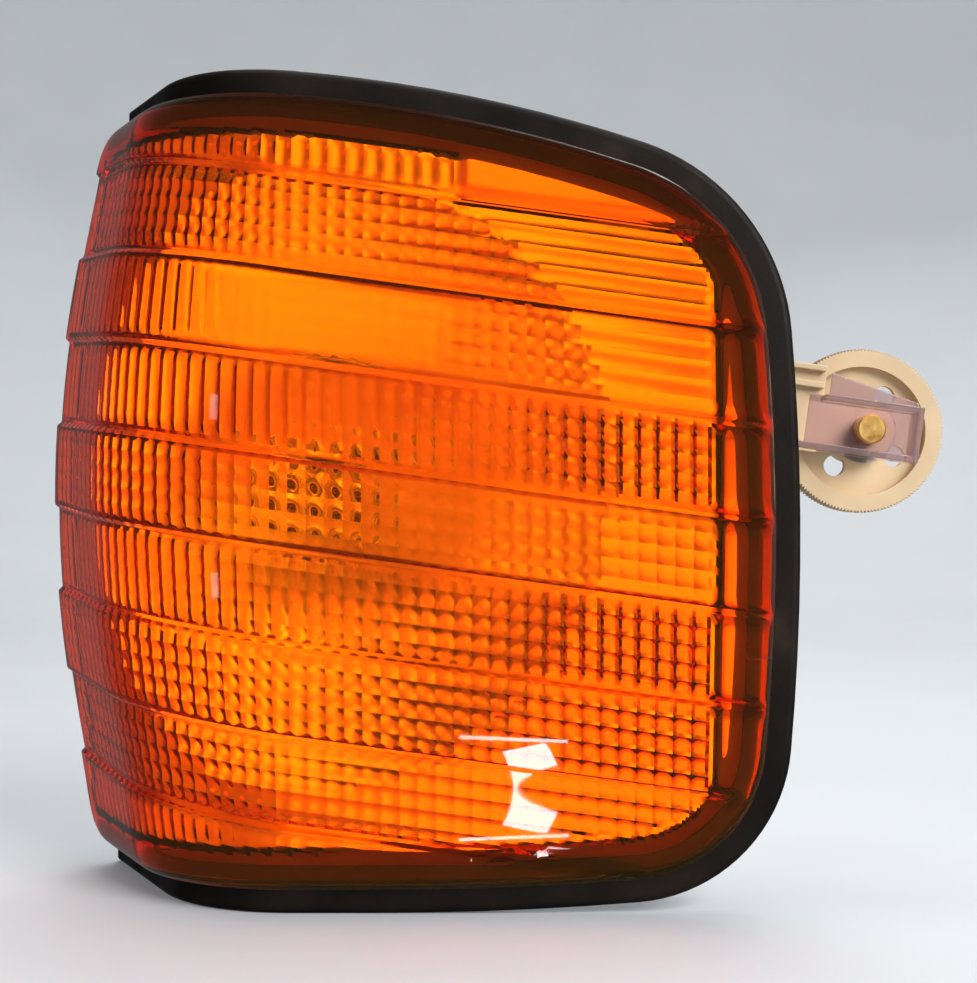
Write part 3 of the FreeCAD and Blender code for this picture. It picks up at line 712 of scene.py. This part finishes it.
def add_studio_floor():
    """Pale floor that sweeps up into a wall all round, so that every side has a plain background."""
    floor_z = CAD_BOUNDS[0][2]
    profile = [(FLOOR_RADIUS * i / FLOOR_RINGS, 0.0) for i in range(FLOOR_RINGS + 1)]
    run = SWEEP_RADIUS - FLOOR_RADIUS
    for i in range(1, SWEEP_STEPS + 1):
        angle = math.pi / 2 * i / SWEEP_STEPS
        profile.append((FLOOR_RADIUS + run * math.sin(angle), SWEEP_HEIGHT * (1 - math.cos(angle))))
    points = []
    for radius, z in profile:
        for k in range(FLOOR_SIDES):
            angle = 2 * math.pi * k / FLOOR_SIDES
            points.append((radius * math.cos(angle) / MM, radius * math.sin(angle) / MM, (floor_z + z) / MM))
    faces = []
    for ring in range(len(profile) - 1):
        for k in range(FLOOR_SIDES):
            a = ring * FLOOR_SIDES + k
            b = ring * FLOOR_SIDES + (k + 1) % FLOOR_SIDES
            faces.append((a, b, b + FLOOR_SIDES, a + FLOOR_SIDES))
    floor = mesh_object("studio_floor", points, faces)
    floor.visible_glossy = False
    m = Material("studio_paper", (0.50, 0.52, 0.54), 0.8)
    m.color(m.noise(6, 3), [(NOISE_LOW, (0.49, 0.51, 0.53)), (NOISE_HIGH, (0.52, 0.54, 0.56))])
    m.shader.inputs["Emission Color"].default_value = (0.90, 0.95, 1.0, 1)
    m.shader.inputs["Emission Strength"].default_value = FLOOR_GLOW
    paint(floor, m.material)
    return floor


def add_area_light(name, place, target, size, power, color=(1, 1, 1)):
    data = bpy.data.lights.new(name, "AREA")
    data.shape = "RECTANGLE"
    data.size, data.size_y = size
    data.energy = power
    data.color = color
    light = bpy.data.objects.new(name, data)
    light.location = place
    aim(light, target)
    light.visible_camera = False
    bpy.context.scene.collection.objects.link(light)
    return light


def add_point_light(name, place, radius, power, color):
    data = bpy.data.lights.new(name, "POINT")
    data.shadow_soft_size = radius
    data.energy = power
    data.color = color
    light = bpy.data.objects.new(name, data)
    light.location = place
    bpy.context.scene.collection.objects.link(light)
    return light


def aim(obj, target):
    direction = Vector(target) - obj.location
    obj.rotation_euler = direction.to_track_quat("-Z", "Y").to_euler()


def light_only(light, *lit):
    """Limits a light to some objects."""
    receivers = bpy.data.collections.new(light.name + "_receivers")
    for obj in lit:
        receivers.objects.link(obj)
    light.light_linking.receiver_collection = receivers


def light_all_but(light, *unlit):
    """Keeps a light off some objects."""
    light_only(light, *unlit)
    for entry in light.light_linking.receiver_collection.collection_objects:
        entry.light_linking.link_state = "EXCLUDE"


def light_inside(light, lit, ignored):
    """Makes a light shine on the lamp's inside only, through the object that is ignored."""
    light.data.cycles.use_multiple_importance_sampling = False
    light_only(light, *lit)
    blockers = bpy.data.collections.new(light.name + "_blockers")
    blockers.objects.link(ignored)
    blockers.collection_objects[0].light_linking.link_state = "EXCLUDE"
    light.light_linking.blocker_collection = blockers


# Soft boxes: name, place, target, width and height, power.
LAMP_CENTRE = (0.03, 0.0, 0.0)
SOFT_BOXES = (
    ("key", (0.75, -0.75, 0.55), LAMP_CENTRE, (0.6, 0.6), 16.0),
    ("top", (0.1, 0.1, 1.2), LAMP_CENTRE, (0.9, 0.9), 10.0),
    ("back", (0.2, 1.2, 0.9), LAMP_CENTRE, (1.0, 0.8), 6.0),
    ("backdrop", (0.0, 0.6, 1.6), (0.0, 2.0, 0.2), (1.0, 1.0), 7.0),
)

# Panels whose light the reflector gathers: name, place, turn from facing the lamp's front, width and
# height, power.
GLOW_COLOR = (1.0, 0.65, 0.03)
GLOW_PANELS = (
    ("glow_left", (-0.31, -0.9, 0.1), 0, (0.88, 1.6), 6.0),
    ("glow_wing", (-0.9, -0.25, 0.1), 90, (0.9, 1.0), 4.5),
    ("glow_upper_right", (0.49, -0.9, 0.46), 0, (0.72, 0.86), 2.7),
    ("glow_low", (0.14, -0.9, -0.19), 0, (0.14, 0.07), 10.0),
    ("glow_high", (0.02, -0.9, 0.3), 0, (0.12, 0.12), 6.0),
)

# Glow inside the bulb and at its neck: name, depth, radius and power.
POINT_GLOWS = (
    ("glow_bulb", 0.0333, 0.012, 0.011),
    ("glow_neck", 0.047, 0.006, 0.010),
)

# The pieces that the panels and glows light.
INSIDE_NODES = ("reflector", "bulb_holder", "bulb_socket", "bulb_cap", "holder_seal")

# Panes of two windows mirrored in the lens: name, place, width and height, turn in degrees, power.
WINDOW_TARGET = (0.056, -0.017, -0.070)
WINDOW_PANES = (
    ("window", (0.078, -0.80, -0.513), (0.034, 0.026), 20.0, 0.06),
    ("window_bar", (0.066, -0.80, -0.487), (0.08, 0.005), -4.0, 0.02),
    ("window_side_high", (-0.62, -0.685, 0.15), (0.07, 0.05), 0.0, 0.04),
    ("window_side_low", (-0.62, -0.685, -0.2), (0.07, 0.05), 0.0, 0.04),
)


def add_lights(lens, floor):
    """Soft boxes for the scene, and amber fills for the light that the lamp gathers through its lens."""
    nodes = frame["nodes"]
    boxes = {box[0]: add_area_light(*box) for box in SOFT_BOXES}
    light_all_but(boxes["key"], lens, nodes["housing"])
    light_all_but(boxes["top"], lens, nodes["housing"])
    light_only(boxes["backdrop"], floor)
    for name, place, size, turn, power in WINDOW_PANES:
        pane = add_area_light(name, place, WINDOW_TARGET, size, power)
        pane.rotation_euler.rotate_axis("Z", math.radians(turn))
        light_only(pane, lens)
    inside = [nodes[node] for node in INSIDE_NODES]
    for name, place, turn, size, power in GLOW_PANELS:
        panel = add_area_light(name, place, LAMP_CENTRE, size, power, GLOW_COLOR)
        panel.rotation_euler = (math.pi / 2, 0, math.radians(-turn))
        light_inside(panel, inside, floor)
    for name, y, radius, power in POINT_GLOWS:
        light_inside(add_point_light(name, (0.0, y, 0.0), radius, power, GLOW_COLOR), inside, floor)
    add_world()


# The world's strength, in front of the lamp and behind it, and the directions between which it changes.
WORLD_FRONT = 0.04
WORLD_BEHIND = 0.18
WORLD_CHANGE = (0.2, 0.9)
WORLD_COLOR = (0.80, 0.85, 0.90, 1)


def add_world():
    """Pale surroundings behind the lamp, and a dark room in front of it."""
    world = bpy.data.worlds.new("studio_world")
    world.use_nodes = True
    nodes = world.node_tree.nodes
    links = world.node_tree.links
    split = nodes.new("ShaderNodeSeparateXYZ")
    links.new(nodes.new("ShaderNodeTexCoord").outputs["Generated"], split.inputs["Vector"])
    depth = nodes.new("ShaderNodeMapRange")
    depth.interpolation_type = "SMOOTHSTEP"
    depth.inputs["From Min"].default_value = WORLD_CHANGE[0]
    depth.inputs["From Max"].default_value = WORLD_CHANGE[1]
    depth.inputs["To Min"].default_value = WORLD_FRONT
    depth.inputs["To Max"].default_value = WORLD_BEHIND
    links.new(split.outputs["Y"], depth.inputs["Value"])
    background = nodes["Background"]
    background.inputs["Color"].default_value = WORLD_COLOR
    links.new(depth.outputs["Result"], background.inputs["Strength"])
    bpy.context.scene.world = world


# Camera: film width, focal length and distance from the lens's front in mm, place in metres.
SENSOR_WIDTH = 36.0
FOCAL_LENGTH = 65.6
CAMERA_DISTANCE = 430
CAMERA_X = 0.0475
CAMERA_Z = -0.0026


def add_camera():
    """Square to the lens's front, level with the middle of the lamp."""
    data = bpy.data.cameras.new("camera")
    data.sensor_width = SENSOR_WIDTH
    data.lens = FOCAL_LENGTH
    data.clip_start = 0.01
    camera = bpy.data.objects.new("camera", data)
    camera.location = (CAMERA_X, (LENS_FRONT_Y - CAMERA_DISTANCE) * MM, CAMERA_Z)
    camera.rotation_euler = (math.pi / 2, 0, 0)
    bpy.context.scene.collection.objects.link(camera)
    bpy.context.scene.camera = camera


dress_cad_nodes()
lens_piece = add_lens()
add_piece(build_stud(), "lamp", "yellow_zinc", "clamp_stud")
add_spring()
let_light_through()
add_lights(lens_piece, add_studio_floor())
add_camera()
bpy.context.scene.view_settings.view_transform = "Standard"
